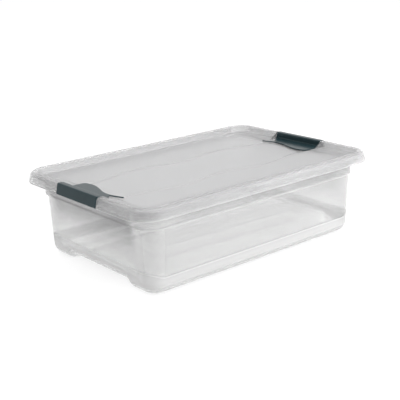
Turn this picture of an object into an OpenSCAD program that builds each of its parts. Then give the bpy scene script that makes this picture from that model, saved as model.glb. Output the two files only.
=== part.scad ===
// Low clear storage box with a lift-off lid and two swing latches.
// The origin is on the floor under the middle of the box, X runs along its length and Z is up.

/* [Overall] */
// Length over the lid
box_length = 595; // [500:1:700]
// Width over the lid
box_width = 400; // [340:1:480]
// Height from the floor to the top of the lid
box_height = 172; // [150:1:260]
// Thickness of the clear mouldings
wall = 2; // [1.6:0.1:2.4]

/* [Tub] */
// From the lid's edge in to the end walls, under the collar
end_overhang = 30.5; // [30:0.5:40]
// From the lid's edge in to the side walls, under the collar
side_overhang = 23.5; // [22:0.5:32]
// Corner radius of the tub, under the collar
tub_corner = 36; // [34:1:46]
// Lean of the tub's walls, in degrees
draft = 2.7; // [1:0.1:3.2]
// Radius of the tub's bottom edge
bottom_radius = 24; // [10:1:26]
// Height of the collar that stands out under the flange
collar_height = 28; // [16:1:40]
// How far the collar stands out past the end walls
collar_end_step = 5.5; // [3.5:0.5:6]
// How far the collar stands out past the side walls
collar_side_step = 2.5; // [2:0.5:4]
// Corner radius of the collar
collar_corner = 40; // [37:1:50]
// Thickness of the flange round the mouth
flange_thickness = 2.5; // [2:0.1:3]
// From the lid's edge in to the flange's edge
flange_setback = 4; // [3.7:0.1:5]
// Height of the floor between the two rails that the box stands on
floor_raise = 11; // [6:0.5:14]
// Width of the raised floor
tunnel_width = 166; // [120:1:200]
// Run of the slope from the raised floor down to each rail
tunnel_slope = 20; // [10:1:26]

/* [Lid] */
// Height of the lid's skirt
skirt_height = 20.5; // [18:0.5:23]
// Lean of the skirt, in degrees
skirt_lean = 12; // [6:1:14]
// Corner radius at the skirt's edge
lid_corner = 47.5; // [42:0.5:58]
// Width of the hollow rim
rim_width = 18; // [17:0.5:20]
// Radius of the rim's outer shoulder
shoulder_radius = 5; // [3.5:0.5:6]
// Radius of the rim's inner edge
rim_edge_radius = 3; // [3:0.5:5]
// Depth of the panel below the rim
panel_drop = 14; // [12:0.5:15]
// Mean width of the sunk band along the panel
band_width = 138; // [100:1:160]
// Depth of the sunk band
band_depth = 1.5; // [0.5:0.1:2]
// Height of the waves in the band's edges
wave_height = 9; // [0:1:14]
// Length of one wave
wave_length = 215; // [120:5:300]

/* [Latches] */
// Length of a latch, across the end of the box
latch_length = 130; // [100:1:180]
// Thickness of a latch
latch_wall = 2.2; // [1.8:0.1:2.6]
// How far the tongue reaches in from the lid's edge
tongue_reach = 63; // [50:1:70]
// Depth of the hollow in the tongue's inner edge
scallop_depth = 10; // [4:0.5:12]
// Radius of the tongue's corners
tongue_corner = 8; // [4:0.5:14]
// Depth of the seat in the panel under each tongue
seat_depth = 0.5; // [0.3:0.1:0.8]
// Gap between the tongue and its seat
seat_gap = 0.3; // [0.2:0.1:0.6]
// Gap at each end of a latch
latch_gap = 1; // [0.6:0.1:2]
// From the lid's edge in to the latch's axis
hinge_setback = 7.2; // [7:0.1:7.6]
// From the flange's top down to the latch's axis
hinge_drop = 0.5; // [0:0.1:1]
// Radius of the lugs and ribs round the axis
knuckle_radius = 3.6; // [3.2:0.1:3.7]
// Radius of the hinge pegs
peg_radius = 1.8; // [1.4:0.1:2]
// Running clearance of a peg in its lug
peg_clearance = 0.2; // [0.1:0.05:0.3]
// How far each peg reaches into its lug
peg_length = 2.5; // [1.5:0.1:2.8]
// Thickness of a lug
lug_thickness = 6; // [5.8:0.1:10]
// Thickness of the ribs beside a lug
rib_thickness = 2.4; // [1.8:0.1:3]
// Gap between a lug and the ribs beside it
rib_gap = 0.4; // [0.3:0.1:0.8]
// From the middle of the latch to each lug
lug_spacing = 38; // [20:1:42]
// From the axis in to the lid's edge, under the tongue
lid_edge_reach = 16; // [15.8:0.1:17]

/* [Hidden] */
$fn = 96;

half_length = box_length / 2;
panel_top = box_height - panel_drop;
flange_top = panel_top - wall;
flange_bottom = flange_top - flange_thickness;
skirt_bottom = box_height - skirt_height;
shoulder_z = flange_bottom - collar_height;
collar_end_overhang = end_overhang - collar_end_step;
collar_side_overhang = side_overhang - collar_side_step;
hinge_z = flange_top - hinge_drop;
tongue_bottom = panel_top - seat_depth + seat_gap;
notch_half_width = latch_length / 2 + latch_gap;
lid_notch_depth = hinge_setback + lid_edge_reach;
// The flange is cut back behind each latch, clear of the ribs that turn there
rib_room = 0.9;
pocket_depth = hinge_setback + knuckle_radius + rib_room;
// The sunk band ends under the tongues, so that a finger gets under their edges
band_under_tongue = 6;
band_half_length = half_length - tongue_reach + scallop_depth + band_under_tongue;
wave_steps = 60;
// How far the curve at each end of the raised floor is moved out, so that it crosses the end wall
end_shift = 0.3;
// What a cutting shape reaches past the face that it cuts
spill = 1;

// A rectangle with round corners, about the origin.
module rounded_rect(l, w, r) {
    square([l - 2 * r, w], center = true);
    square([l, w - 2 * r], center = true);
    for (x = [-1, 1], y = [-1, 1])
        translate([x * (l / 2 - r), y * (w / 2 - r)])
            circle(r);
}

// A profile taken round a rounded rectangle. The profile's x is the distance out from
// the corners' centres, and its y is the height.
module sweep_round(l, w, r) {
    along_y = w - 2 * r;
    along_x = l - 2 * r;
    for (turn = [0, 180]) {
        rotate(turn)
            translate([along_x / 2, along_y / 2, 0])
                rotate([90, 0, 0])
                    linear_extrude(along_y)
                        children();
        rotate(turn + 90)
            translate([along_y / 2, along_x / 2, 0])
                rotate([90, 0, 0])
                    linear_extrude(along_x)
                        children();
        rotate(turn)
            translate([along_x / 2, along_y / 2, 0])
                rotate_extrude(angle = 90)
                    children();
        rotate(turn + 90)
            translate([along_y / 2, along_x / 2, 0])
                rotate_extrude(angle = 90)
                    children();
    }
}

// Half of the tub's section, from a corner's centre out to a leaning wall with a round bottom edge.
function wall_reach(r, z) = r - (shoulder_z - z) * tan(draft);

module tub_profile(r, base, top, edge) {
    centre = wall_reach(r, base + edge) - edge / cos(draft);
    polygon([
        [0, base],
        [centre, base],
        [centre, base + edge],
        [centre + edge * cos(draft), base + edge - edge * sin(draft)],
        [wall_reach(r, top), top],
        [0, top]
    ]);
    translate([centre, base + edge])
        intersection() {
            circle(edge);
            translate([0, -edge])
                square(edge);
        }
}

// The tub as a full block, with its faces moved in by inset.
module tub_block(inset, top) {
    shift = inset / cos(draft);
    l = box_length - 2 * end_overhang - 2 * shift;
    w = box_width - 2 * side_overhang - 2 * shift;
    r = tub_corner - shift;
    sweep_round(l, w, r)
        tub_profile(r, inset, top, bottom_radius - inset);
    translate([0, 0, (inset + top) / 2])
        cube([l - 2 * r, w - 2 * r, top - inset], center = true);
}

// The space under the raised floor, between the rails, with its faces moved in by inset.
// At each end it curves up into the end wall.
module floor_space(inset) {
    rise = floor_raise + inset;
    edge = bottom_radius - inset;
    flat_end = half_length - end_overhang + end_shift - bottom_radius / cos(draft)
        - (shoulder_z - floor_raise - bottom_radius) * tan(draft);
    inner = tunnel_width / 2 + inset;
    outer = inner + tunnel_slope;
    intersection() {
        rotate([90, 0, 0])
            linear_extrude(box_width, center = true)
                difference() {
                    translate([-half_length, -spill])
                        square([box_length, rise + edge + spill]);
                    translate([-flat_end, rise])
                        square([2 * flat_end, edge + spill]);
                    for (x = [-flat_end, flat_end])
                        translate([x, rise + edge])
                            circle(edge);
                }
        rotate([90, 0, 90])
            linear_extrude(box_length, center = true)
                polygon([
                    [-outer, -spill],
                    [outer, -spill],
                    [outer, inset],
                    [inner, rise],
                    [inner, rise + edge + spill],
                    [-inner, rise + edge + spill],
                    [-inner, rise],
                    [-outer, inset]
                ]);
    }
}

module tub_shape(inset, top) {
    difference() {
        tub_block(inset, top);
        floor_space(inset);
    }
}

module collar_shape(inset, bottom, top) {
    translate([0, 0, bottom])
        linear_extrude(top - bottom)
            rounded_rect(
                box_length - 2 * (collar_end_overhang + inset),
                box_width - 2 * (collar_side_overhang + inset),
                collar_corner - inset
            );
}

// A section run along the +X end. Its x is the distance out from the lid's edge, so that it is
// negative inside the box, and its y is the height.
module along_end(run) {
    translate([half_length, 0, 0])
        rotate([90, 0, 0])
            linear_extrude(run, center = true)
                children();
}

module at_both_ends() {
    for (turn = [0, 180])
        rotate(turn)
            children();
}

module flange() {
    difference() {
        translate([0, 0, flange_bottom])
            linear_extrude(flange_thickness)
                rounded_rect(
                    box_length - 2 * flange_setback,
                    box_width - 2 * flange_setback,
                    lid_corner - flange_setback
                );
        at_both_ends()
            along_end(2 * notch_half_width)
                translate([-pocket_depth, flange_bottom - spill])
                    square([pocket_depth, flange_thickness + 2 * spill]);
    }
}

module lugs() {
    for (y = [-1, 1])
        translate([0, y * lug_spacing, 0])
            along_end(lug_thickness) {
                translate([-hinge_setback, hinge_z])
                    circle(knuckle_radius);
                translate([-pocket_depth - spill, flange_bottom])
                    square([knuckle_radius + rib_room + spill, flange_thickness]);
            }
}

module lug_bores() {
    for (y = [-1, 1])
        translate([0, y * lug_spacing, 0])
            along_end(lug_thickness + 2 * spill)
                translate([-hinge_setback, hinge_z])
                    circle(peg_radius + peg_clearance);
}

module box_body() {
    color("gainsboro", 0.5)
        difference() {
            union() {
                tub_shape(0, shoulder_z + wall);
                collar_shape(0, shoulder_z, flange_top);
                flange();
                at_both_ends()
                    lugs();
            }
            tub_shape(wall, shoulder_z + wall + spill);
            collar_shape(wall, shoulder_z + wall, flange_top + spill);
            at_both_ends()
                lug_bores();
        }
}

// The rim's section, filled: a leaning skirt, a round shoulder, a flat top and a round inner edge.
// It is drawn as along_end takes it, with its faces moved in by inset.
function skirt_face(z, inset) = (skirt_bottom - z) * tan(skirt_lean) - inset / cos(skirt_lean);

module rim_section(inset, bottom) {
    top = box_height - inset;
    inner = inset - rim_width;
    shoulder = shoulder_radius - inset;
    edge = rim_edge_radius - inset;
    shoulder_x = skirt_face(top - shoulder, inset) - shoulder / cos(skirt_lean);
    polygon([
        [skirt_face(bottom, inset), bottom],
        [shoulder_x + shoulder * cos(skirt_lean), top - shoulder + shoulder * sin(skirt_lean)],
        [shoulder_x, top - shoulder],
        [shoulder_x, top],
        [inner + edge, top],
        [inner + edge, top - edge],
        [inner, top - edge],
        [inner, bottom]
    ]);
    translate([shoulder_x, top - shoulder])
        intersection() {
            circle(shoulder);
            square(shoulder);
        }
    translate([inner + edge, top - edge])
        intersection() {
            circle(edge);
            translate([-edge, 0])
                square(edge);
        }
}

// The rim as a bent sheet, whose inner leg stops at foot.
module rim_sheet(thickness, foot) {
    difference() {
        rim_section(0, skirt_bottom);
        rim_section(thickness, skirt_bottom - spill);
        translate([-3 * rim_width / 2, skirt_bottom - spill])
            square([rim_width, foot - skirt_bottom + spill]);
    }
}

// The sunk band's outline: two wavy edges, moved out by grow.
function wave_edge(x) = band_width / 2 - wave_height * cos(360 * x / wave_length);

module band_outline(grow) {
    reach = band_half_length + grow;
    xs = [for (i = [0:wave_steps]) reach * (2 * i / wave_steps - 1)];
    polygon(concat(
        [for (x = xs) [x, -wave_edge(x) - grow]],
        [for (x = xs) [-x, wave_edge(x) + grow]]
    ));
}

// The seat in the panel under a tongue, at the +X end.
module tongue_seat() {
    inner = half_length - tongue_reach - latch_gap;
    outer = half_length - lid_notch_depth + spill;
    corner = tongue_corner + latch_gap;
    translate([0, 0, panel_top - seat_depth])
        linear_extrude(seat_depth + spill) {
            translate([inner + corner, -notch_half_width])
                square([outer - inner - corner, 2 * notch_half_width]);
            translate([inner, corner - notch_half_width])
                square([2 * corner, 2 * (notch_half_width - corner)]);
            for (y = [-1, 1])
                translate([inner + corner, y * (notch_half_width - corner)])
                    circle(corner);
        }
}

module panel() {
    difference() {
        union() {
            translate([0, 0, flange_top])
                linear_extrude(wall)
                    rounded_rect(
                        box_length - 2 * (rim_width - wall),
                        box_width - 2 * (rim_width - wall),
                        lid_corner - rim_width + wall
                    );
            translate([0, 0, flange_top - band_depth])
                linear_extrude(wall)
                    band_outline(wall);
        }
        translate([0, 0, panel_top - band_depth])
            linear_extrude(band_depth + spill)
                band_outline(0);
        at_both_ends()
            tongue_seat();
    }
}

// The rim is cut away where a latch closes over it, and each cut end is walled off.
module notch() {
    along_end(2 * notch_half_width)
        translate([-lid_notch_depth, skirt_bottom - spill])
            square([lid_notch_depth + spill, skirt_height + 2 * spill]);
}

module notch_walls() {
    for (y = [-1, 1])
        translate([0, y * (notch_half_width + wall / 2), 0])
            along_end(wall)
                difference() {
                    rim_section(0, skirt_bottom);
                    translate([wall / 2 - flange_setback - rim_width, skirt_bottom - spill])
                        square([rim_width, flange_top - skirt_bottom + spill]);
                }
}

module lid() {
    color("whitesmoke", 0.5)
        union() {
            difference() {
                union() {
                    sweep_round(box_length, box_width, lid_corner)
                        translate([lid_corner, 0])
                            rim_sheet(wall, flange_top);
                    panel();
                }
                at_both_ends()
                    notch();
            }
            at_both_ends()
                notch_walls();
        }
}

// The tongue's outline from above, at the +X end, with a hollow inner edge.
module tongue_outline() {
    root = half_length - rim_width + latch_wall;
    tip = half_length - tongue_reach;
    half_chord = latch_length / 2 - tongue_corner;
    scallop_radius = (half_chord ^ 2 + scallop_depth ^ 2) / (2 * scallop_depth);
    difference() {
        union() {
            translate([tip + tongue_corner, -latch_length / 2])
                square([root - tip - tongue_corner, latch_length]);
            translate([tip, -half_chord])
                square([2 * tongue_corner, 2 * half_chord]);
            for (y = [-1, 1])
                translate([tip + tongue_corner, y * half_chord])
                    circle(tongue_corner);
        }
        translate([tip + scallop_depth - scallop_radius, 0])
            circle(scallop_radius);
    }
}

// Two ribs beside each lug, with a peg on each rib that turns in the lug.
module rib_pair() {
    face = lug_thickness / 2 + rib_gap;
    for (side = [-1, 1]) {
        translate([0, side * (face + rib_thickness / 2), 0])
            along_end(rib_thickness)
                intersection() {
                    union() {
                        translate([-hinge_setback, hinge_z])
                            circle(knuckle_radius);
                        translate([-hinge_setback - knuckle_radius, hinge_z])
                            square([hinge_setback + knuckle_radius, box_height - hinge_z]);
                    }
                    rim_section(latch_wall / 2, skirt_bottom - spill);
                }
        translate([0, side * (lug_thickness / 2 + rib_gap / 2 - peg_length / 2 + rib_thickness / 4), 0])
            along_end(peg_length + rib_gap + rib_thickness / 2)
                translate([-hinge_setback, hinge_z])
                    circle(peg_radius);
    }
}

module latch() {
    color("darkslategray")
        union() {
            along_end(latch_length)
                rim_sheet(latch_wall, tongue_bottom);
            translate([0, 0, tongue_bottom])
                linear_extrude(latch_wall)
                    tongue_outline();
            for (y = [-1, 1]) {
                translate([0, y * (latch_length - latch_wall) / 2, 0])
                    along_end(latch_wall)
                        rim_section(0, tongue_bottom);
                translate([0, y * lug_spacing, 0])
                    rib_pair();
            }
        }
}

module right_latch() {
    latch();
}

module left_latch() {
    rotate(180)
        latch();
}

box_body();
lid();
left_latch();
right_latch();
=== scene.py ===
import bpy
import bmesh
import math
from mathutils import Matrix, Vector


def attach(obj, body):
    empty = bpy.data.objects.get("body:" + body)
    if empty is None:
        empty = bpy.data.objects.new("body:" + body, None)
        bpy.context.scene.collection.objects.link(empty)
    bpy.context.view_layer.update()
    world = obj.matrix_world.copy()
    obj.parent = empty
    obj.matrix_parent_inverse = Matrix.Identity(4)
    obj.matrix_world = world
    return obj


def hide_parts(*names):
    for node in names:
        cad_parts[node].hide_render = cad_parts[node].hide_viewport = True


# An under bed box: a clear tub and lid with a slate grey latch at each end, worked out in millimetres.
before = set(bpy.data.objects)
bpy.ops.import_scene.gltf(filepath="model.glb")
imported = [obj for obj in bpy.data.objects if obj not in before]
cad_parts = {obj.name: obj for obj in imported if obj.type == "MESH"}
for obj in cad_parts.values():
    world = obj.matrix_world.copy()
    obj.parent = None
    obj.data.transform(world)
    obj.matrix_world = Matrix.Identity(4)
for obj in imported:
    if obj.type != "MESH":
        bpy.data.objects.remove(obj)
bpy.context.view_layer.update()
scene = bpy.context.scene
scene.view_settings.view_transform = "Standard"
mm = 0.001
print("frame loaded:", ", ".join(sorted(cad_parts)))

lightPaths = dict(bounces=24, clearSheets=32)  # a look across the box passes through many sheets
scene.cycles.max_bounces = lightPaths["bounces"]
scene.cycles.transmission_bounces = lightPaths["bounces"]
scene.cycles.transparent_max_bounces = lightPaths["clearSheets"]
scene.cycles.caustics_reflective = False  # no speckle from the gloss
scene.cycles.caustics_refractive = False


# sRGB hex to linear, by the standard curve
def linear(hexText):
    parts = [int(hexText[i:i + 2], 16) / 255 for i in (1, 3, 5)]
    return [c / 12.92 if c <= 0.04045 else ((c + 0.055) / 1.055) ** 2.4 for c in parts] + [1.0]


# a node with its settings and links, each by the name of a socket, its number or a property
def addNode(tree, kind, settings=None, links=None):
    made = tree.nodes.new(kind)
    for key, value in (settings or {}).items():
        if isinstance(key, int) or key in made.inputs.keys():
            made.inputs[key].default_value = value
        else:
            setattr(made, key, value)
    for key, source in (links or {}).items():
        tree.links.new(source, made.inputs[key])
    return made


def newMaterial(name):
    made = bpy.data.materials.new(name)
    made.use_nodes = True
    made.node_tree.nodes.clear()
    return made, made.node_tree


# a noise pattern whose features are about this many millimetres across has this scale
def scaleFor(sizeMm):
    return 1 / (sizeMm * mm)


# Natural polypropylene, injection moulded in a polished tool: colourless and faintly milky. Part of
# the light goes straight through the thin sheet and part is bent or scattered in it, so what stands
# behind shows softened and grey. White lines along the moulded rounds are painted highlights.
# Each state is (colour, share of the plastic that lets light through, share of the sheet that isn't
# plainly see-through). A value painted on the mesh picks the state: at -1 the tub's painted shade, a
# darker, denser grey, and the lid's greyer, milkier panel; plain at 0; at 1 an opaque white painted
# highlight.
clearTubLook = dict(
    denseAndShaded=("#7E7E80", 0.5, 0.72), plain=("#FFFFFF", 0.62, 0.4), edge=("#FFFFFF", 0.3, 0.95),
    roughness=0.06, hazeMm=38, rippleMm=26, ripple=0.05, shadow="#FCFCFC")

# The same plastic for the lid, moulded in a finely blasted tool: milkier, with a softer shine.
clearLidLook = dict(
    denseAndShaded=("#E9E9EA", 0.45, 0.72), plain=("#F0F0F1", 0.7, 0.52), edge=("#FFFFFF", 0.3, 0.95),
    roughness=0.18, hazeMm=30, rippleMm=18, ripple=0.06, shadow="#F4F4F4")

clearSheet = dict(ior=1.49, smoothest=0.7, roughest=1.4, rippleDeepMm=0.2)  # for both of them


def makeClearPlastic(name, look):
    made, tree = newMaterial(name)
    place = addNode(tree, "ShaderNodeTexCoord").outputs["Object"]
    haze = addNode(tree, "ShaderNodeTexNoise",
                   {"Scale": scaleFor(look["hazeMm"]), "Detail": 4.0, "Roughness": 0.6}, {"Vector": place})
    rough = addNode(tree, "ShaderNodeMapRange",
                    {"To Min": look["roughness"] * clearSheet["smoothest"],
                     "To Max": look["roughness"] * clearSheet["roughest"]},
                    {"Value": haze.outputs["Fac"]})
    ripple = addNode(tree, "ShaderNodeTexNoise",
                     {"Scale": scaleFor(look["rippleMm"]), "Detail": 2.0}, {"Vector": place})
    bump = addNode(tree, "ShaderNodeBump",
                   {"Strength": look["ripple"], "Distance": clearSheet["rippleDeepMm"] * mm},
                   {"Height": ripple.outputs["Fac"]})
    # the painted shade and highlight carried on the mesh picks the state
    edge = addNode(tree, "ShaderNodeAttribute", {"attribute_name": "paintedShadeAndHighlight"})
    level = addNode(tree, "ShaderNodeMapRange", {"From Min": -1.0}, {"Value": edge.outputs["Fac"]})
    tint = addNode(tree, "ShaderNodeValToRGB", {}, {"Fac": level.outputs["Result"]})
    body = addNode(tree, "ShaderNodeValToRGB", {}, {"Fac": level.outputs["Result"]})
    for ramp in (tint.color_ramp, body.color_ramp):
        ramp.elements.new(0.5)  # plain, halfway between the dense, shaded state and the painted highlight
    for i, state in enumerate(("denseAndShaded", "plain", "edge")):
        colour, through, cover = look[state]
        tint.color_ramp.elements[i].color = linear(colour)
        body.color_ramp.elements[i].color = (through, cover, 0, 1)
    parts = addNode(tree, "ShaderNodeSeparateColor", {}, {"Color": body.outputs["Color"]})
    shader = addNode(tree, "ShaderNodeBsdfPrincipled", {"IOR": clearSheet["ior"]},
                     {"Base Color": tint.outputs["Color"], "Roughness": rough.outputs["Result"],
                      "Transmission Weight": parts.outputs["Red"], "Alpha": parts.outputs["Green"],
                      "Normal": bump.outputs["Normal"]})
    ray = addNode(tree, "ShaderNodeLightPath")  # lamp light passes the sheet instead of stopping at it
    passing = addNode(tree, "ShaderNodeBsdfTransparent", {"Color": linear(look["shadow"])})
    whole = addNode(tree, "ShaderNodeMixShader", {},
                    {0: ray.outputs["Is Shadow Ray"], 1: shader.outputs["BSDF"], 2: passing.outputs["BSDF"]})
    addNode(tree, "ShaderNodeOutputMaterial", {}, {"Surface": whole.outputs["Shader"]})
    return made


# Polypropylene coloured slate grey, moulded in a spark-eroded tool: a fine satin grain that turns
# pale where it is seen at a flat angle. The real grain, a few tenths of a millimetre, is too fine
# to show, so it is drawn at 1.2 mm.
slateLook = dict(
    colour="#2A4147", ior=1.49, roughness=0.2, roughSpread=0.15, sheen=0.22, grainMm=1.2, grain=0.12,
    grainDeepMm=0.1, cloudMm=25, cloudSpread=0.07, cloudFrom=0.3, cloudTo=0.7)


def makeSlatePlastic(name, look):
    made, tree = newMaterial(name)
    place = addNode(tree, "ShaderNodeTexCoord").outputs["Object"]
    cloud = addNode(tree, "ShaderNodeTexNoise",
                    {"Scale": scaleFor(look["cloudMm"]), "Detail": 3.0}, {"Vector": place})
    tint = addNode(tree, "ShaderNodeValToRGB", {}, {"Fac": cloud.outputs["Fac"]})
    shades = ((look["cloudFrom"], 1 - look["cloudSpread"]), (look["cloudTo"], 1 + look["cloudSpread"]))
    for stop, (at, shade) in zip(tint.color_ramp.elements, shades):
        stop.position = at
        stop.color = [c * shade for c in linear(look["colour"])[:3]] + [1]
    grain = addNode(tree, "ShaderNodeTexNoise",
                    {"Scale": scaleFor(look["grainMm"]), "Detail": 2.0}, {"Vector": place})
    rough = addNode(tree, "ShaderNodeMapRange",
                    {"To Min": look["roughness"] * (1 - look["roughSpread"]),
                     "To Max": look["roughness"] * (1 + look["roughSpread"])},
                    {"Value": grain.outputs["Fac"]})
    bump = addNode(tree, "ShaderNodeBump",
                   {"Strength": look["grain"], "Distance": look["grainDeepMm"] * mm},
                   {"Height": grain.outputs["Fac"]})
    shader = addNode(tree, "ShaderNodeBsdfPrincipled",
                     {"IOR": look["ior"], "Specular IOR Level": look["sheen"]},
                     {"Base Color": tint.outputs["Color"], "Roughness": rough.outputs["Result"],
                      "Normal": bump.outputs["Normal"]})
    addNode(tree, "ShaderNodeOutputMaterial", {}, {"Surface": shader.outputs["BSDF"]})
    return made


tubPlastic = makeClearPlastic("naturalPolypropyleneGloss", clearTubLook)
lidPlastic = makeClearPlastic("naturalPolypropyleneMilky", clearLidLook)
latchPlastic = makeSlatePlastic("slatePolypropyleneSatin", slateLook)
print("materials made")


def arc(cx, cz, r, start, stop, steps):
    turn = [math.radians(start + (stop - start) * i / steps) for i in range(steps + 1)]
    return [(cx + r * math.cos(a), cz + r * math.sin(a)) for a in turn]


# from 0 to 1 with a soft start and end
def ease(t):
    return t * t * (3 - 2 * t)


# Stations run once round a rounded rectangle, anticlockwise from above. Each is
# (where, sign, place): an end has its y, a side its x, a corner its two signs and its angle.
# The y of an end may come with a word for the kind of place it is.
def stationsRound(endYs, sideXs, cornerSteps):
    turn = [90 * i / cornerSteps for i in range(cornerSteps + 1)]
    made = [("end", 1, y) for y in endYs]
    made += [("corner", (1, 1), a) for a in turn]
    made += [("side", 1, -x) for x in sideXs]
    made += [("corner", (-1, 1), 90 + a) for a in turn]
    made += [("end", -1, (-y[0], y[1]) if isinstance(y, tuple) else -y) for y in endYs]
    made += [("corner", (-1, -1), 180 + a) for a in turn]
    made += [("side", -1, x) for x in sideXs]
    made += [("corner", (1, -1), 270 + a) for a in turn]
    return made


def stationPoint(station, cx, cy, reach):
    where, sign, place = station
    if where == "end":
        y = place[0] if isinstance(place, tuple) else place
        return sign * (cx + reach), y
    if where == "side":
        return place, sign * (cy + reach)
    a = math.radians(place)
    return sign[0] * cx + reach * math.cos(a), sign[1] * cy + reach * math.sin(a)


# faces between rows of points that each close on themselves
def bandFaces(rows):
    faces = []
    for one, two in zip(rows, rows[1:]):
        for j in range(len(one)):
            k = (j + 1) % len(one)
            faces.append((one[j], one[k], two[k], two[j]))
    return faces


meshRules = dict(weldMm=0.01, thinMm=0.005, smoothDeg=35)


def buildObject(name, points, faces, material, node, body, edges=None):
    mesh = bpy.data.meshes.new(name)
    bm = bmesh.new()
    # painted shade and highlight for each point, read by the clear plastic
    layer = bm.verts.layers.float.new("paintedShadeAndHighlight")
    verts = [bm.verts.new([c * mm for c in p]) for p in points]
    for vert, edge in zip(verts, edges or [0] * len(verts)):
        vert[layer] = edge
    for f in faces:
        if len(set(f)) > 2:
            bm.faces.new([verts[i] for i in f])
    bmesh.ops.remove_doubles(bm, verts=bm.verts, dist=meshRules["weldMm"] * mm)
    bmesh.ops.dissolve_degenerate(bm, edges=bm.edges, dist=meshRules["thinMm"] * mm)
    bmesh.ops.recalc_face_normals(bm, faces=bm.faces)
    bm.to_mesh(mesh)
    openEdges = sum(1 for e in bm.edges if len(e.link_faces) != 2)
    bm.free()
    mesh.materials.append(material)
    made = bpy.data.objects.new(name, mesh)
    scene.collection.objects.link(made)
    mesh.shade_smooth()
    mesh.set_sharp_from_angle(angle=math.radians(meshRules["smoothDeg"]))
    even = made.modifiers.new("evenNormals", "WEIGHTED_NORMAL")  # flat stretches stay flat beside rounds
    even.keep_sharp = True
    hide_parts(node)
    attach(made, body)
    print(name, len(mesh.polygons), "faces,", openEdges, "open edges")
    return made


tub = dict(
    halfX=231, halfY=140.5, corner=36, draft=2.7, bottomRadius=24, wall=2, shoulderZ=125.5,
    collarX=232.5, collarY=139, collarReach=40, collarMidZ=140, stepRound=2.2, aboveStep=4.4,
    flangeX=250, flangeY=152.5, flangeReach=43.5, flangeTop=156, flangeBottom=153.5,
    pocketHalf=66, pocketX=285.8,  # the flange stands back under each latch
    floorRaise=11, tunnelHalf=95, slope=10, slopeEase=2, raiseFull=30, raiseNone=90,
    lugY=38, lugThick=6, lugBack=5.6, hingeX=290.3, hingeZ=155.5, knuckle=3.6, bore=2.0,
    creaseZ=36, creaseRise=9,
    # places along the walls that carry points, and steps of the rounds
    innerZs=(30, 48, 75, 100), outerZs=(100, 75, 58),
    endYs=(118, 108, 104, 100, 96, 92, 88, 84, 80, 74), pocketYs=(50, 25, 0),
    sideXs=(-200, -150, -100, -50, 0, 50, 100, 150, 200),
    cornerSteps=10, bottomSteps=9, stepSteps=5, lugSteps=20,
    # small rounds on the section, as (outwards, up, painted highlight) from the sharp corner
    stepInner=((0.5, -0.2, 0.3), (1.4, 0, 0.3)),
    stepInnerTop=((-1.2, 0, 0.3), (-0.3, 0.3, 0.3), (0, 1.2, 0.2), (0, 4, 0)),
    rimInner=((0, -4, 0), (0, -1, 0.3), (0.3, -0.3, 0.4), (1, 0, 0.2)),
    stepRoot=((0.4, 0, 0.5), (0.1, -0.2, 0.4)),
    lipRound=((-2.5, 0), (-0.7, 0), (-0.2, -0.2), (0, -0.7)),  # without painted light
    flangeRoot=((1.2, 0), (0.3, -0.3), (0, -1.2)),
    innerWallTop=((-4, 0), (-1.2, 0.3)),  # (up, painted highlight) on the wall itself
    outerWallTop=((-0.8, 0.25), (-2.4, 0)),
    creaseRound=((3.6, 0, 0), (2.4, 0, -0.5), (1.2, 0.35, -0.3), (0.3, 0.5, 0.8), (-0.6, 0.35, 1),
                 (-1.6, 0, 1), (-2.6, 0, 0.8)),  # (up, inwards, painted light): painted shade above the groove, a painted highlight below
    # painted highlights along the collar's foot and along the top of the bottom rounding
    stepPaintedHighlight=(0.15, 0.6, 1, 1, 0.8, 0.5), bottomPaintedHighlight=(0.9, 1, 0.6, 0.2),
    # painted shade: how much darker and denser the outside looks on the collar under the rim, at the
    # corners, and growing with height on the ends and the sides; the ends keep only part of the painted
    # highlights and of the crease's painted lines
    collarPaintedShade=-0.25, cornerPaintedShade=-0.2, endPaintedShade=-1.1, sidePaintedShade=-0.35, paintedShadeFrom=45, paintedShadeTo=125,
    aboveBottom=25, endPaintedLightShare=0.3, endCreasePaintedLightShare=0.5)

ringCentres = dict(
    tub=(tub["halfX"], tub["halfY"]), crease=(tub["halfX"], tub["halfY"]),
    collar=(tub["collarX"], tub["collarY"]), flange=(tub["flangeX"], tub["flangeY"]))
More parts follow.
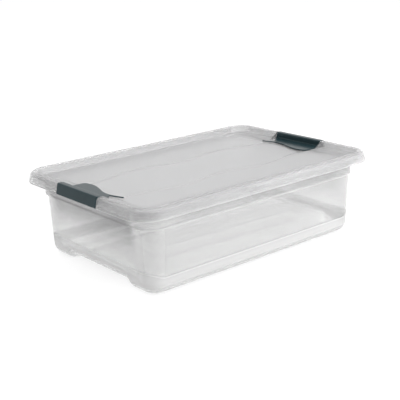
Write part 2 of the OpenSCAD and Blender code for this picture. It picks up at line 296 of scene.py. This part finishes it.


# Rings run from the middle of the floor up the inside, over the flange and down the outside. Each is
# (which centre, reach from it, height, inset from the outer face, painted light).
def tubRings():
    t = tub
    lean = math.radians(t["draft"])

    def wallReach(z, inset):
        return t["corner"] - inset / math.cos(lean) - (t["shoulderZ"] - z) * math.tan(lean)

    def bottomArc(inset):
        z = t["bottomRadius"]
        middle = wallReach(z, 0) - z / math.cos(lean)
        return arc(middle, z, z - inset, -90, -t["draft"], t["bottomSteps"])

    wall, collar, flange = t["wall"], t["collarReach"], t["flangeReach"]
    top, low, step = t["flangeTop"], t["flangeBottom"], t["shoulderZ"]
    stepTop = step + wall
    stepIn = wallReach(step, 0)
    inner = [("tub", r, z, wall, 0) for r, z in bottomArc(wall)]
    inner += [("tub", wallReach(z, wall), z, wall, 0) for z in t["innerZs"]]
    inner += [("tub", wallReach(stepTop + up, wall), stepTop + up, wall, g) for up, g in t["innerWallTop"]]
    inner += [("tub", stepIn - wall + out, stepTop + up, wall, g) for out, up, g in t["stepInner"]]
    inner += [("collar", collar - wall + out, stepTop + up, wall, g) for out, up, g in t["stepInnerTop"]]
    inner += [("collar", collar - wall + out, top + up, wall, g) for out, up, g in t["rimInner"]]
    lip = [("flange", flange + out, top + up, 0, 0) for out, up in t["lipRound"]]
    lip += [("flange", flange + out, low - up, 0, 0) for out, up in reversed(t["lipRound"])]
    # painted shade on the collar, in the shadow of the rim
    denseAndShaded = t["collarPaintedShade"]
    outer = [("collar", collar + out, low + up, 0, denseAndShaded) for out, up in t["flangeRoot"]]
    outer += [("collar", collar, z, 0, denseAndShaded) for z in (t["collarMidZ"], step + t["aboveStep"])]
    # a painted highlight along the collar's foot
    turn = arc(collar - t["stepRound"], step + t["stepRound"], t["stepRound"], 0, -90, t["stepSteps"])
    outer += [("collar", r, z, 0, g) for (r, z), g in zip(turn, t["stepPaintedHighlight"])]
    outer += [("tub", stepIn + out, step + up, 0, g) for out, up, g in t["stepRoot"]]
    outer += [("tub", wallReach(step + up, 0), step + up, 0, g) for up, g in t["outerWallTop"]]
    outer += [("tub", wallReach(z, 0), z, 0, 0) for z in t["outerZs"]]
    crease = t["creaseZ"]  # a fine groove runs round the wall above the bottom rounding, painted dark on its upper lip and with a painted highlight below
    outer += [("crease", wallReach(crease + up, 0) - deep, crease + up, 0, g)
              for up, deep, g in t["creaseRound"]]
    # a painted highlight along the top of the bottom rounding
    fillet = list(reversed(bottomArc(0)))
    edges = t["bottomPaintedHighlight"] + (0,) * len(fillet)
    outer += [("tub", r, z, 0, g) for (r, z), g in zip(fillet, edges)]
    return inner + lip + outer


# the floor is raised between the two rails
def raisedBy(y, inset):
    soft = tub["slopeEase"]
    far = tub["tunnelHalf"] + inset + tub["slope"] + soft
    share = (far - abs(y)) / (tub["slope"] + 2 * soft)
    return tub["floorRaise"] * ease(min(max(share, 0), 1))


def tubPoint(station, ring):
    where, sign, place = station
    base, reach, z, inset, _ = ring
    lean = math.tan(math.radians(tub["draft"]))
    if base == "crease":  # lower along a side than along an end
        turn = abs(math.cos(math.radians(place))) if where == "corner" else int(where == "end")
        up = tub["creaseRise"] * ease(turn)
        z += up
        reach += up * lean
    x, y = stationPoint(station, *ringCentres[base], reach)
    if base == "flange" and where == "end" and isinstance(place, tuple):
        x = sign * (tub["pocketX"] - (tub["flangeReach"] - reach))
    if base == "tub" and z < tub["raiseNone"]:
        share = (tub["raiseNone"] - z) / (tub["raiseNone"] - tub["raiseFull"])
        up = raisedBy(y, inset) * min(1, share)
        z += up
        if where == "end":
            x += sign * up * lean
    return x, y, z


# painted light at a point of the tub: painted shade below 0, a painted highlight above 0. Painted
# shade is added at the corners and grows with height on the ends and the sides, and the ends keep only
# part of the painted highlights
def tubPaintedShadeAndHighlight(station, ring):
    t = tub
    where = station[0]
    base, _, z, inset, edge = ring
    high = max(0, (min(z, t["paintedShadeTo"]) - t["paintedShadeFrom"]) / (t["paintedShadeTo"] - t["paintedShadeFrom"]))
    if inset == 0 and base in ("tub", "collar") and z > t["aboveBottom"]:
        if where == "corner" and edge <= 0:
            edge += t["cornerPaintedShade"]
        if where == "end":
            edge = edge * t["endPaintedLightShare"] + t["endPaintedShade"] * high
        if where == "side" and edge <= 0:
            edge += t["sidePaintedShade"] * high
    if base == "crease" and where == "end":
        edge *= t["endCreasePaintedLightShare"]
    return max(edge, -1)


# a lug under the flange with a bore for the latch's pegs
def lugMesh(points, faces, sx, sy):
    t = tub
    r, back = t["knuckle"], -t["lugBack"]
    upper, lower = t["flangeTop"] - t["hingeZ"], t["flangeBottom"] - t["hingeZ"]
    start = 180 - math.degrees(math.asin(upper / r))
    stop = -180 - math.degrees(math.asin(lower / r))
    outline = arc(0, 0, r, start, stop, t["lugSteps"]) + [(back, lower), (back, upper)]
    angles = [math.atan2(z, x) for x, z in outline]
    hole = [(t["bore"] * math.cos(a), t["bore"] * math.sin(a)) for a in angles]
    n = len(outline)
    a = len(points)
    b, c, d = a + n, a + 2 * n, a + 3 * n
    for y in (-t["lugThick"] / 2, t["lugThick"] / 2):
        for loop in (outline, hole):
            points += [(sx * (t["hingeX"] + x), sy * t["lugY"] + y, t["hingeZ"] + z) for x, z in loop]
    for i in range(n):
        j = (i + 1) % n
        for one, two in ((a, b), (c, d), (a, c), (b, d)):
            faces.append((one + i, one + j, two + j, two + i))


def makeTub():
    t = tub
    plainYs = list(t["endYs"]) + [t["pocketHalf"]]
    pocketYs = [t["pocketHalf"]] + list(t["pocketYs"])
    right = [-y for y in plainYs] + [(-y, "pocket") for y in pocketYs]
    right += [(y, "pocket") for y in reversed(pocketYs[:-1])] + list(reversed(plainYs))
    stations = stationsRound(right, t["sideXs"], t["cornerSteps"])
    # each point carries its painted shade and highlight value
    points, edges, rows = [], [], []
    for ring in tubRings():
        rows.append(range(len(points), len(points) + len(stations)))
        points += [tubPoint(s, ring) for s in stations]
        edges += [tubPaintedShadeAndHighlight(s, ring) for s in stations]
    faces = bandFaces(rows)
    count = len(right)
    leftStart = count + 2 * (t["cornerSteps"] + 1) + len(t["sideXs"])
    leftEnd = leftStart + count - 1
    for row in (rows[0], rows[-1]):  # the floor, in strips from end to end
        for i in range(count - 1):
            faces.append((row[i], row[i + 1], row[leftEnd - 1 - i], row[leftEnd - i]))
        faces.append(list(row[count - 1:leftStart + 1]))
        faces.append(list(row[leftEnd:]) + [row[0]])
    for sx in (1, -1):
        for sy in (1, -1):
            lugMesh(points, faces, sx, sy)
    edges += [0] * (len(points) - len(edges))
    return buildObject("clearTub", points, faces, tubPlastic, "box_body", "box", edges)


makeTub()


lid = dict(
    halfX=250, halfY=152.5, corner=47.5, wall=2, top=172, panelTop=158, skirtBottom=151.5, lean=12,
    shoulder=9, rimWidth=18, rimEdge=3, rimFlat=0.8, aboveRound=2, panelRound=2, panelRings=(42, 30, 24),
    notchHalf=66, notchDepth=23.2, notchNear=1, wallFoot=3.2, wallGap=0.15, plateRound=0.5,
    softPull=0.05, softMidZ=165, softAboveZ=160,
    bandHalf=250.5, bandWidth=138, bandDepth=1.5, bandCorner=8, waveHeight=9, waveLength=215, nearSpread=4,
    seatX=233.5, seatDepth=0.5, seatGap=0.3,
    # places along the rim and the skirt that carry points, and steps of the rounds
    rimYs=(118, 90), rimGap=0.6, plateYs=(45, 15), skirtZs=(161, 158, 154.5), sideEnd=248, sideSteps=62,
    cornerSteps=12, shoulderSteps=5, rimEdgeSteps=4, panelSteps=4,
    # paintedShadeAndHighlight along each round
    # painted highlight along each round; the panel's foot starts in the panel's greyer, milkier state
    panelFootDensityAndHighlight=(-0.7, 0, 0.4, 0.3, 0.1), rimPaintedHighlight=(0.1, 0.3, 0.6, 0.3, 0.1),
    shoulderPaintedHighlight=(0, 0.1, 0.3, 0.4, 0.2, 0),
    # small rounds: (inwards, up, painted highlight) on the skirt's foot, (inwards, up) under the panel
    skirtFoot=((0, 1.2, 0.7), (0, 0.6, 1), (0.268, 0.15, 1)),
    skirtFootIn=((-0.3, 0, 1), (0.021, 0.5, 1), (0, 1.2, 0.7)),
    panelFoot=((0, 1), (0.3, 0.3), (1, 0)),
    # the step of the wavy band: (outwards, share of its depth, up)
    bandRound=((-2.4, 1, 0), (-1.4, 1, 0), (-0.5, 1, 0.2), (0.2, 0, -0.2), (1.2, 0, 0), (3.6, 0, 0)),
    bandRoundIn=((3.6, 0, 0), (3.2, 0, 0), (2.2, 0, -0.2), (1.5, 1, 0.2), (0.6, 1, 0), (-0.4, 1, 0)))


# the rim's section, as (distance in from the outer edge, height), this far inside its outer face
def rimProfile(inset, shoulder=lid["shoulder"]):
    s = lid
    lean = math.radians(s["lean"])
    top = s["top"] - inset
    outR, inR = shoulder - inset, s["rimEdge"] - inset

    def skirtIn(z):
        return (z - s["skirtBottom"]) * math.tan(lean) + inset / math.cos(lean)

    outX = skirtIn(top - outR) + outR / math.cos(lean)
    inX = s["rimWidth"] - inset - inR
    outerRound = [(outX - x, z) for x, z in arc(0, top - outR, outR, 90, s["lean"], s["shoulderSteps"])]
    innerRound = [(inX - x, z) for x, z in arc(0, top - inR, inR, 180, 90, s["rimEdgeSteps"])]
    return innerRound, outerRound, skirtIn


# Rings of the lid as (distance in from the edge, height, painted light): the upper face from the panel
# out to the skirt's foot, and the under face back again.
def lidRings():
    s = lid
    wall, rim, bottom, top = s["wall"], s["rimWidth"], s["skirtBottom"], s["top"]
    upper, lower = s["panelTop"], s["panelTop"] - wall
    edge, shoulder, skirtIn = rimProfile(0)
    edgeIn, shoulderIn, skirtInside = rimProfile(wall)
    foot = arc(0, upper + s["panelRound"], s["panelRound"], -90, 0, s["panelSteps"])
    # the panel takes the greyer, milkier state
    outer = [(d, upper, -1) for d in s["panelRings"]]
    # painted highlights along the panel's foot, the rim's inner edge and the shoulder
    outer += [(rim + s["panelRound"] - x, z, g) for (x, z), g in zip(foot, s["panelFootDensityAndHighlight"])]
    outer += [(rim, top - s["rimEdge"] - s["aboveRound"], 0)]
    outer += [(d, z, g) for (d, z), g in zip(edge, s["rimPaintedHighlight"])]
    outer += [(rim - s["rimEdge"] - s["rimFlat"], top, 0), (shoulder[0][0] + s["rimFlat"], top, 0)]
    outer += [(d, z, g) for (d, z), g in zip(shoulder, s["shoulderPaintedHighlight"])]
    outer += [(skirtIn(z), z, 0) for z in s["skirtZs"]]
    # a painted highlight along the skirt's foot, outside and in
    outer += [(skirtIn(bottom + up) + inwards, bottom + up, g) for inwards, up, g in s["skirtFoot"]]
    inner = [(skirtInside(bottom + up) + inwards, bottom + up, g) for inwards, up, g in s["skirtFootIn"]]
    inner += [(skirtInside(z), z, 0) for z in reversed(s["skirtZs"])]
    inner += [(d, z, 0) for d, z in list(reversed(shoulderIn)) + list(reversed(edgeIn))]
    inner += [(rim - wall + inwards, lower + up, 0) for inwards, up in s["panelFoot"]]
    inner += [(d, lower, -1) for d in reversed(s["panelRings"])]
    return outer, inner


def waveEdge(x):
    return lid["bandWidth"] / 2 - lid["waveHeight"] * math.cos(2 * math.pi * x / lid["waveLength"])


# the latch's tongue lies in a shallow seat in the panel
def seated(x, y, z):
    s = lid
    inSeat = abs(x) > s["seatX"] and abs(y) < s["notchHalf"] + s["seatGap"]
    return x, y, min(z, s["panelTop"] - s["seatDepth"]) if inSeat else z


# a shallow band with wavy edges is sunk across the panel
def bandPoint(station, grow, z):
    s = lid
    where, sign, place = station
    half, r = s["bandHalf"] + grow, s["bandCorner"]
    cornerY = waveEdge(s["bandHalf"]) + grow - r
    if where == "end":
        y = max(-1, min(1, place[0] / s["notchHalf"])) * cornerY
        return seated(sign * half, y, z)
    if where == "side":
        spread = s["nearSpread"] if sign < 0 else 1  # the near edge runs out gently and hardly shows
        return seated(place, sign * (waveEdge(place) + grow * spread), z)
    a = math.radians(place)
    return seated(sign[0] * (half - r) + r * math.cos(a), sign[1] * cornerY + r * math.sin(a), z)


# t runs from 0 at the panel to 1 at the outermost ring
def lidPoint(station, d, z, t, under):
    s = lid
    where, sign, place = station
    if where == "end":
        y, kind = place
        if abs(y) < s["notchHalf"] + s["notchNear"]:
            if under and abs(y) >= s["notchHalf"]:
                y += math.copysign(s["wall"], y)
            if kind == "plate":  # the panel's bare edge, inside the notch
                start = s["panelRings"][0]
                d = start + (s["notchDepth"] - start) * t
                z = s["panelTop"] - (s["wall"] if under else s["seatDepth"])
                if t == 1:
                    z += s["plateRound"] if under else -s["plateRound"]
            elif kind == "wall":  # the notch's end wall, over the flange
                low = s["panelTop"] - s["wall"] + s["wallGap"]
                if z < low:
                    d, z = s["wallFoot"], low
            elif kind == "soft":  # a small round on the end wall's edge
                d += (s["rimWidth"] / 2 - d) * s["softPull"]
                if z > s["softAboveZ"]:
                    z += (s["softMidZ"] - z) * s["softPull"]
        station = (where, sign, y)
    x, y = stationPoint(station, s["halfX"], s["halfY"], s["corner"] - d)
    return x, y, z


def makeLid():
    s = lid
    notch, reach, steps = s["notchHalf"], s["sideEnd"], s["sideSteps"]
    ends = [(y, "rim") for y in s["rimYs"] + (notch + s["rimGap"],)]
    ends += [(notch, kind) for kind in ("soft", "wall", "plate")]
    ends += [(y, "plate") for y in s["plateYs"]]
    right = [(-y, kind) for y, kind in ends] + list(reversed(ends))
    sideXs = [-reach + 2 * reach * i / steps for i in range(steps + 1)]
    stations = stationsRound(right, sideXs, s["cornerSteps"])
    points, edges, rows = [], [], []

    def addRow(made, edge):
        rows.append(range(len(points), len(points) + len(stations)))
        points.extend(made)
        edges.extend([edge] * len(stations))

    def addBand(turn, face):
        for grow, sunk, up in turn:
            # the sunk band takes the panel's greyer, milkier state
            addRow([bandPoint(q, grow, face - sunk * s["bandDepth"] + up) for q in stations], -1)

    outer, inner = lidRings()
    addBand(s["bandRound"], s["panelTop"])
    for i, (d, z, edge) in enumerate(outer):
        addRow([lidPoint(q, d, z, i / (len(outer) - 1), False) for q in stations], edge)
    for i, (d, z, edge) in enumerate(inner):
        addRow([lidPoint(q, d, z, 1 - i / (len(inner) - 1), True) for q in stations], edge)
    addBand(s["bandRoundIn"], s["panelTop"] - s["wall"])
    faces = bandFaces(rows)
    first = len(right) + s["cornerSteps"] + 1  # where the back side starts, and the front one
    other = first + len(stations) // 2
    for row in (rows[0], rows[-1]):  # the band's floor, in strips across it
        for i in range(steps):
            a, b = first + i, other + steps - i
            faces.append((row[a], row[a + 1], row[b - 1], row[b]))
        faces.append(list(row[first + steps:other + 1]))
        faces.append(list(row[other + steps:]) + list(row[:first + 1]))
    return buildObject("clearLid", points, faces, lidPlastic, "lid", "lid", edges)


makeLid()


latch = dict(
    edgeX=297.5, length=130, wall=2.2, shoulder=4, tongueBottom=157.8, tongueReach=60, tongueWave=7.5,
    waveLength=138, crestY=42, cutY=-35, cutRoot=3, tongueCorner=8, rootRound=1.5, shortest=0.5,
    footInset=0.3, footLow=0.15, footHigh=0.9, innerTurn=0.8,
    wingFrom=-28, wingY=-66, wingWide=4.5, wingTip=1.4, wingInset=0.1, wingDrop=0.2, wingRound=(0.3, 0.5),
    webBack=0.6, webOverlap=0.3, lugY=38, lugThick=6, ribThick=2.4, ribGap=0.4, ribFrom=20, ribTo=-180,
    hingeIn=7.2, hingeZ=155.5, knuckle=3.6, pegRadius=1.8, pegLength=2.5, pegSunk=0.5, pegSoft=0.3,
    # places along the latch that carry points, and steps of the rounds
    fromEnd=(0, 0.25, 0.8, 2, 3.5, 5.5, 8, 12), endSinks=(0.7, 0.3),
    midYs=(48, 42, 37, 35, 33, 28, 22, 15, 8), skirtZs=(157, 163), tongueShares=(0.5, 0.88),
    rootSteps=4, tipSteps=6, wingSteps=9, ribSteps=12, pegSides=16)


# The tongue's inner edge is a wave with its crest on one side; on the other the corner is cut aslant.
def waveTip(y):
    c = latch
    return c["tongueReach"] + c["tongueWave"] * math.cos(2 * math.pi * (y - c["crestY"]) / c["waveLength"])


def tongueTip(y):
    c = latch
    half, r, cut = c["length"] / 2, c["tongueCorner"], c["cutY"]
    if y > half - r:
        return waveTip(y) - r + math.sqrt(max(0, r ** 2 - (y - half + r) ** 2))
    if y < cut:
        root = lid["rimWidth"] + c["cutRoot"]
        return root + (waveTip(cut) - root) * (y + half) / (cut + half)
    return waveTip(y)


# the cover over the rim and the tongue in one closed section
def latchProfile(y):
    c = latch
    wall, under, rim, bottom = c["wall"], c["tongueBottom"], lid["rimWidth"], lid["skirtBottom"]
    upper, rootR = under + wall, c["rootRound"]
    edge, shoulder, skirtIn = rimProfile(0, c["shoulder"])
    edgeIn, shoulderIn, skirtInside = rimProfile(wall, c["shoulder"])
    root = rim + rootR
    tip = max(tongueTip(y) - wall / 2, root + c["shortest"])
    along = [root + (tip - root) * share for share in c["tongueShares"]]
    low, high = bottom + c["footLow"], bottom + c["footHigh"]
    loop = [(skirtIn(bottom) + c["footInset"], low), (skirtIn(high), high)]
    loop += [(skirtIn(z), z) for z in c["skirtZs"]]
    loop += list(reversed(shoulder)) + list(reversed(edge))
    loop += [(root - x, z) for x, z in reversed(arc(0, upper + rootR, rootR, -90, 0, c["rootSteps"]))]
    loop += [(d, upper) for d in along]
    loop += [(tip - x, z) for x, z in arc(0, under + wall / 2, wall / 2, 90, 270, c["tipSteps"])]
    loop += [(along[-1], under), (rim - wall + c["innerTurn"], under), (rim - wall, under + c["innerTurn"])]
    loop += edgeIn + shoulderIn
    loop += [(skirtInside(z), z) for z in reversed(c["skirtZs"])]
    loop += [(skirtInside(high), high), (skirtInside(bottom) - c["footInset"], low)]
    return loop


def extrudeAlongY(points, faces, outline, y0, y1, side, soft=0.0):
    first = len(points)
    n = len(outline)
    cx = sum(p[0] for p in outline) / n
    cz = sum(p[1] for p in outline) / n
    levels = [(y0, soft), (y0 + soft, 0), (y1 - soft, 0), (y1, soft)] if soft else [(y0, 0), (y1, 0)]
    for y, inset in levels:
        for x, z in outline:
            k = 1 - inset / math.hypot(x - cx, z - cz)
            points.append((side * (latch["edgeX"] - (cx + (x - cx) * k)), y, cz + (z - cz) * k))
    rows = [range(first + q * n, first + (q + 1) * n) for q in range(len(levels))]
    faces += bandFaces(rows) + [list(rows[0]), list(rows[-1])]


def makeLatch(name, side, node):
    c = latch
    points, faces = [], []
    half = c["length"] / 2
    ys = [half - e for e in c["fromEnd"]] + list(c["midYs"])
    sinks = dict(zip(ys, c["endSinks"]))
    rows = []
    for y in [-y for y in ys] + [0] + list(reversed(ys)):
        loop = latchProfile(-side * y)
        sink = sinks.get(abs(y), 0)
        n = len(loop)
        rows.append(range(len(points), len(points) + n))
        for i, (d, z) in enumerate(loop):
            if sink:  # the sheet's end is rounded off
                ax, az = loop[i - 1]
                bx, bz = loop[(i + 1) % n]
                span = math.hypot(bx - ax, bz - az)
                d += sink * (bz - az) / span
                z -= sink * (bx - ax) / span
            points.append((side * (c["edgeX"] - d), y, z))
    faces += bandFaces(rows) + [list(rows[0]), list(rows[-1])]
    # the slim wing that carries the wave on past the cut corner
    low = c["tongueBottom"] + c["wingInset"]
    top = c["tongueBottom"] + c["wall"] - c["wingDrop"]
    back, turn = c["wingRound"]
    rows = []
    for i in range(c["wingSteps"] + 1):
        y = c["wingFrom"] + (c["wingY"] - c["wingFrom"]) * i / c["wingSteps"]
        wide = c["wingWide"] + (c["wingTip"] - c["wingWide"]) * i / c["wingSteps"]
        tip = waveTip(y) - c["wingInset"]
        section = [(tip - wide, low), (tip - back, low), (tip, low + turn),
                   (tip, top - turn), (tip - back, top), (tip - wide, top)]
        rows.append(range(len(points), len(points) + len(section)))
        points += [(side * (c["edgeX"] - d), -side * y, z) for d, z in section]
    faces += bandFaces(rows) + [list(rows[0]), list(rows[-1])]
    # end webs, a little back from the ends
    edgeIn, shoulderIn, skirtInside = rimProfile(c["wall"] - c["webOverlap"], c["shoulder"])
    web = [(skirtInside(c["tongueBottom"]), c["tongueBottom"])]
    web += list(reversed(shoulderIn)) + list(reversed(edgeIn))
    web += [(lid["rimWidth"] - c["wall"] + c["webOverlap"], c["tongueBottom"])]
    for sy in (1, -1):
        y0, y1 = sorted((sy * (half - c["webBack"]), sy * (half - c["wall"])))
        extrudeAlongY(points, faces, web, y0, y1, side)
    # ribs beside each lug, with the pegs that turn in it
    r, hingeIn, hingeZ = c["knuckle"], c["hingeIn"], c["hingeZ"]
    _, shoulderMid, skirtMid = rimProfile(c["wall"] / 2, c["shoulder"])
    rib = [(hingeIn + r, hingeZ), (hingeIn + r, lid["top"] - c["wall"] / 2)]
    rib += [p for p in shoulderMid if p[0] < hingeIn + r]
    rib += [(skirtMid(hingeZ), hingeZ)]
    knuckle = arc(0, hingeZ, r, c["ribFrom"], c["ribTo"], c["ribSteps"])
    rib += [(hingeIn - x, z) for x, z in knuckle if hingeIn - x > skirtMid(z)]
    sides = c["pegSides"]
    peg = [(hingeIn + x, z) for x, z in arc(0, hingeZ, c["pegRadius"], 0, 360 - 360 / sides, sides - 1)]
    for sy in (1, -1):
        for face in (1, -1):
            near = sy * c["lugY"] + face * (c["lugThick"] / 2 + c["ribGap"])
            y0, y1 = sorted((near, near + face * c["ribThick"]))
            extrudeAlongY(points, faces, rib, y0, y1, side)
            y0, y1 = sorted((near + face * c["pegSunk"], near - face * (c["ribGap"] + c["pegLength"])))
            extrudeAlongY(points, faces, peg, y0, y1, side, c["pegSoft"])
    return buildObject(name, points, faces, latchPlastic, node, node)


makeLatch("leftLatch", -1, "left_latch")
makeLatch("rightLatch", 1, "right_latch")


# 1 for a ray that shows the backdrop: straight into the camera, through the plastic or off its gloss
def backdropRay(tree):
    ray = addNode(tree, "ShaderNodeLightPath")
    shows = ray.outputs["Is Camera Ray"]
    for kind in ("Is Transmission Ray", "Is Glossy Ray"):
        larger = addNode(tree, "ShaderNodeMath", {"operation": "MAXIMUM"}, {0: shows, 1: ray.outputs[kind]})
        shows = larger.outputs["Value"]
    return shows


# Matt white paper, rolled out: it scatters all light evenly and keeps a soft shadow. The lift makes it
# white to the eye without more light on the box.
floorLook = dict(size=30, colour="#D8D8D8", lift=0.66, white=(1, 1, 1, 1))


def makeFloor():
    f = floorLook
    mesh = bpy.data.meshes.new("paperFloor")
    half = f["size"] / 2
    corners = [(-half, -half, 0), (half, -half, 0), (half, half, 0), (-half, half, 0)]
    mesh.from_pydata(corners, [], [(0, 1, 2, 3)])
    made, tree = newMaterial("whitePaper")
    lift = addNode(tree, "ShaderNodeMath", {"operation": "MULTIPLY", 1: f["lift"]}, {0: backdropRay(tree)})
    glow = addNode(tree, "ShaderNodeEmission", {"Color": f["white"]}, {"Strength": lift.outputs["Value"]})
    paper = addNode(tree, "ShaderNodeBsdfDiffuse", {"Color": linear(f["colour"])})
    both = addNode(tree, "ShaderNodeAddShader", {},
                   {0: paper.outputs["BSDF"], 1: glow.outputs["Emission"]})
    addNode(tree, "ShaderNodeOutputMaterial", {}, {"Surface": both.outputs["Shader"]})
    mesh.materials.append(made)
    floor = bpy.data.objects.new("paperFloor", mesh)
    scene.collection.objects.link(floor)


makeFloor()

worldLook = dict(light=0.5, shown=1.0, white=(1, 1, 1, 1))  # a plain soft room, shown as white


def makeWorld():
    world = bpy.data.worlds.new("softRoom")
    world.use_nodes = True
    tree = world.node_tree
    tree.nodes.clear()
    level = addNode(tree, "ShaderNodeMapRange",
                    {"To Min": worldLook["light"], "To Max": worldLook["shown"]},
                    {"Value": backdropRay(tree)})
    sky = addNode(tree, "ShaderNodeBackground",
                  {"Color": worldLook["white"]}, {"Strength": level.outputs["Result"]})
    addNode(tree, "ShaderNodeOutputWorld", {}, {"Surface": sky.outputs["Background"]})
    scene.world = world


makeWorld()

lamps = [
    dict(name="frontSoftbox", at=(0.9, -1.7, 1.0), aim=(0, 0, 0.1), size=1.8, watts=26),
    dict(name="topSoftbox", at=(-0.3, 0.2, 2.2), aim=(0, 0, 0.1), size=1.6, watts=4),
]


def makeLamps():
    for p in lamps:
        data = bpy.data.lights.new(p["name"], "AREA")
        data.shape = "SQUARE"
        data.size = p["size"]
        data.energy = p["watts"]
        made = bpy.data.objects.new(p["name"], data)
        made.location = p["at"]
        made.visible_glossy = False  # no white glare of a lamp on the lid
        made.rotation_euler = (Vector(p["aim"]) - Vector(p["at"])).to_track_quat("-Z", "Y").to_euler()
        scene.collection.objects.link(made)


makeLamps()
print("floor and light set")

# the photograph's own viewing angle, in degrees and millimetres, for a frame of 400 by 400
view = dict(
    azimuth=-39.942, elevation=17.221, distance=1720.89, targetZ=85, yaw=0.150, pitch=-0.081, roll=-1.798,
    focalPx=847.42, framePx=400, sensor=36, clipStart=0.05, clipEnd=60)


def makeCamera():
    v = view

    def towards(az, el):
        a, e = math.radians(az), math.radians(el)
        return Vector((math.sin(a) * math.cos(e), -math.cos(a) * math.cos(e), math.sin(e)))

    data = bpy.data.cameras.new("photoCamera")
    data.sensor_width = v["sensor"]
    data.lens = v["focalPx"] / v["framePx"] * v["sensor"]
    data.clip_start = v["clipStart"]
    data.clip_end = v["clipEnd"]
    made = bpy.data.objects.new("photoCamera", data)
    at = (Vector((0, 0, v["targetZ"])) + v["distance"] * towards(v["azimuth"], v["elevation"])) * mm
    back = towards(v["azimuth"] + v["yaw"], v["elevation"] + v["pitch"])
    right = (-back).cross(Vector((0, 0, 1))).normalized()
    up = right.cross(-back)
    r = math.radians(v["roll"])
    across = right * math.cos(r) + up * math.sin(r)
    above = up * math.cos(r) - right * math.sin(r)
    turn = Matrix((across, above, back)).transposed().to_4x4()
    made.matrix_world = Matrix.Translation(at) @ turn
    scene.collection.objects.link(made)
    scene.camera = made


makeCamera()
print("camera set")
